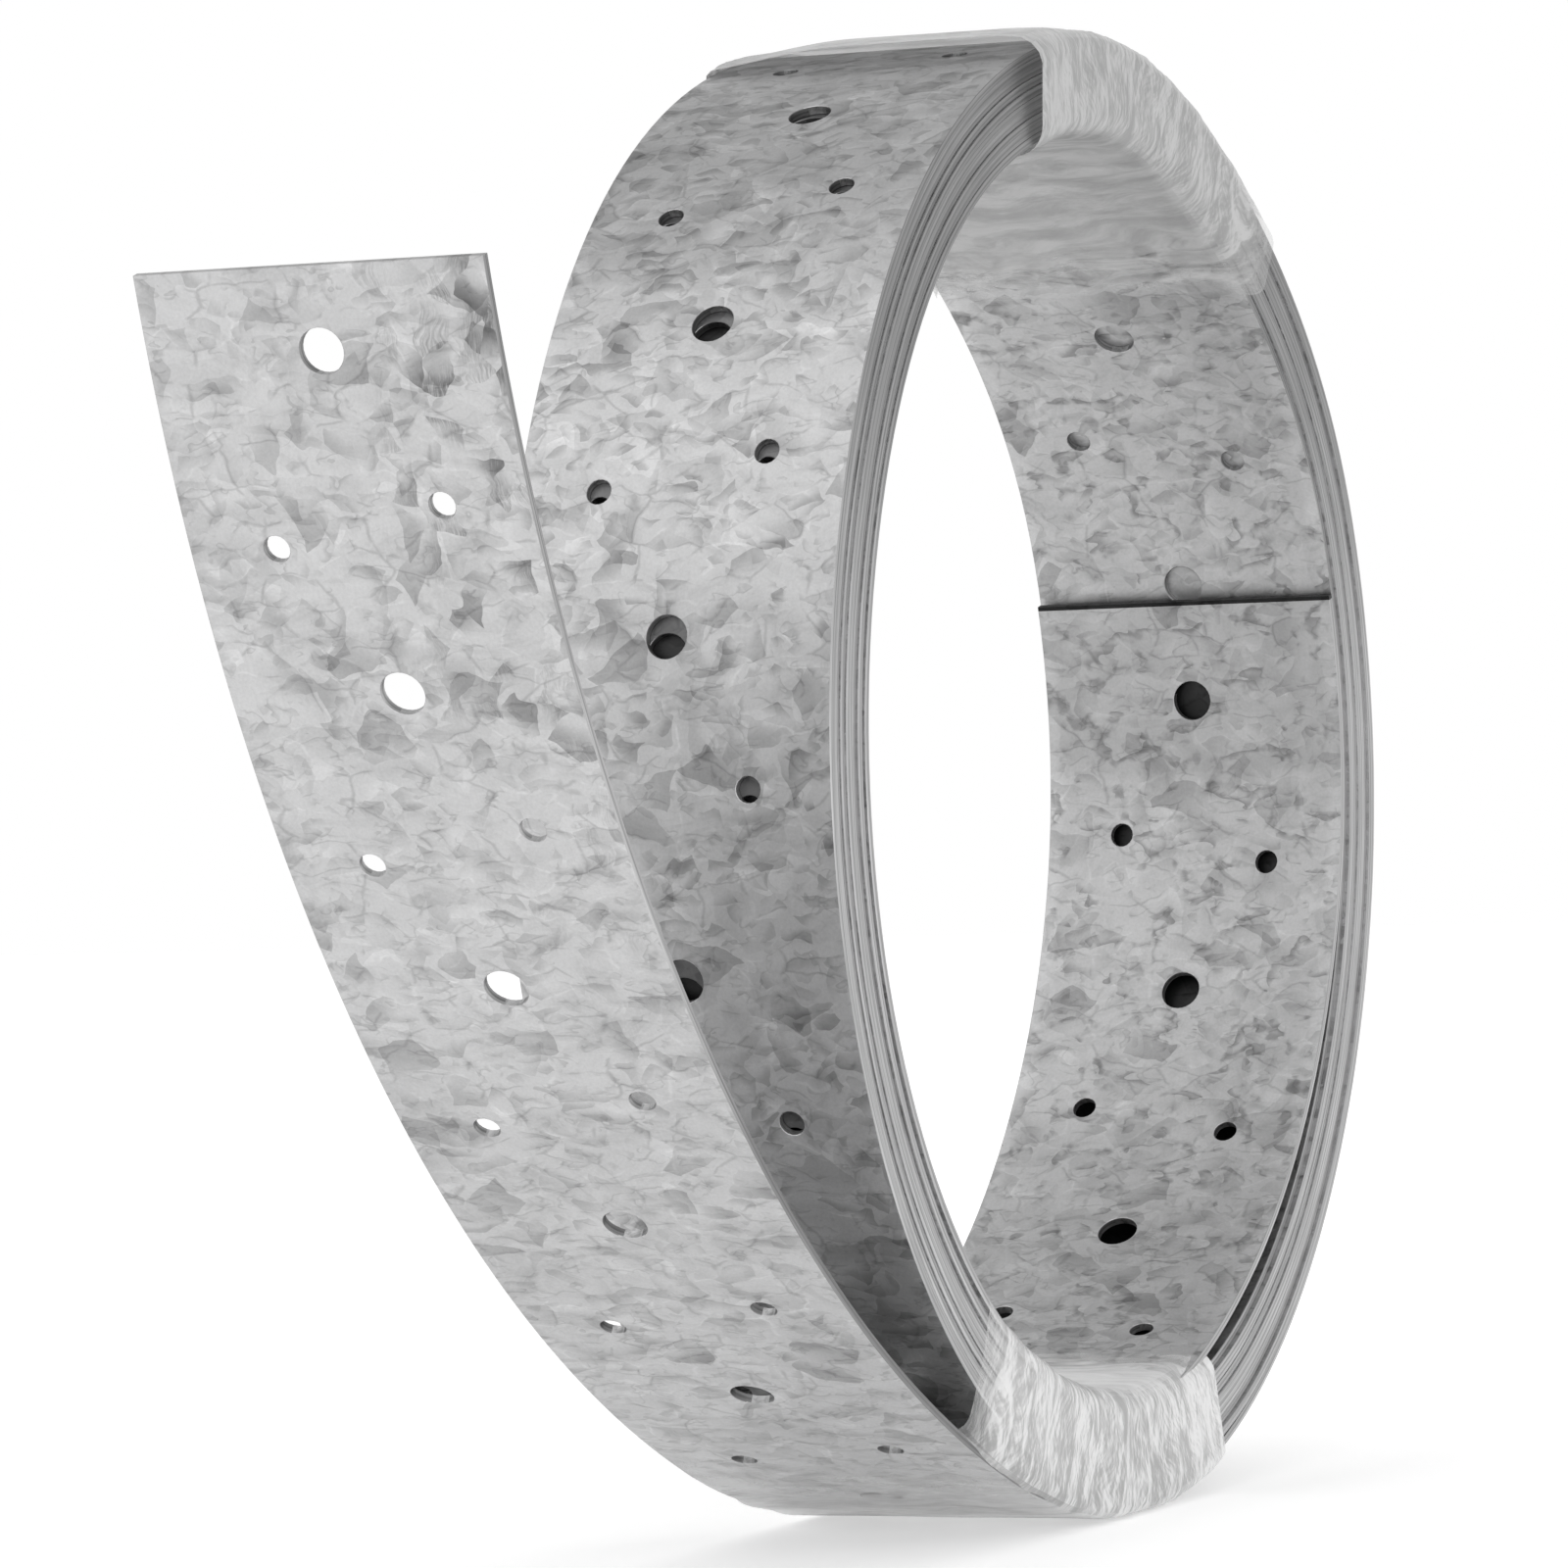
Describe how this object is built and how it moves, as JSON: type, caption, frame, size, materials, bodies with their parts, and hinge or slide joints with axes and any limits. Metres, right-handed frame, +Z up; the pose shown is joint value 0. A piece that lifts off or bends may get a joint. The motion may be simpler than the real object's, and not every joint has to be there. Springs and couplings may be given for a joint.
{
  "type": "coil of perforated steel strap",
  "caption": "Galvanised perforated steel strap wound into an upright coil with a free tail, held by two wraps of clear film.",
  "frame": {"origin": "on the floor, in the middle of the part's box along X and Y", "axes": "+X from the tail towards the coil, +Y along the coil's axis, +Z up"},
  "size_m": [0.3826, 0.0612, 0.2646],
  "materials": {
    "galvanised": "hot-dip zinc with spangle, satin",
    "film": "clear wrinkled stretch film"
  },
  "bodies": {
    "root": {"strap": "galvanised", "wrap_top": "film", "wrap_bottom": "film"}
  },
  "joints": []
}
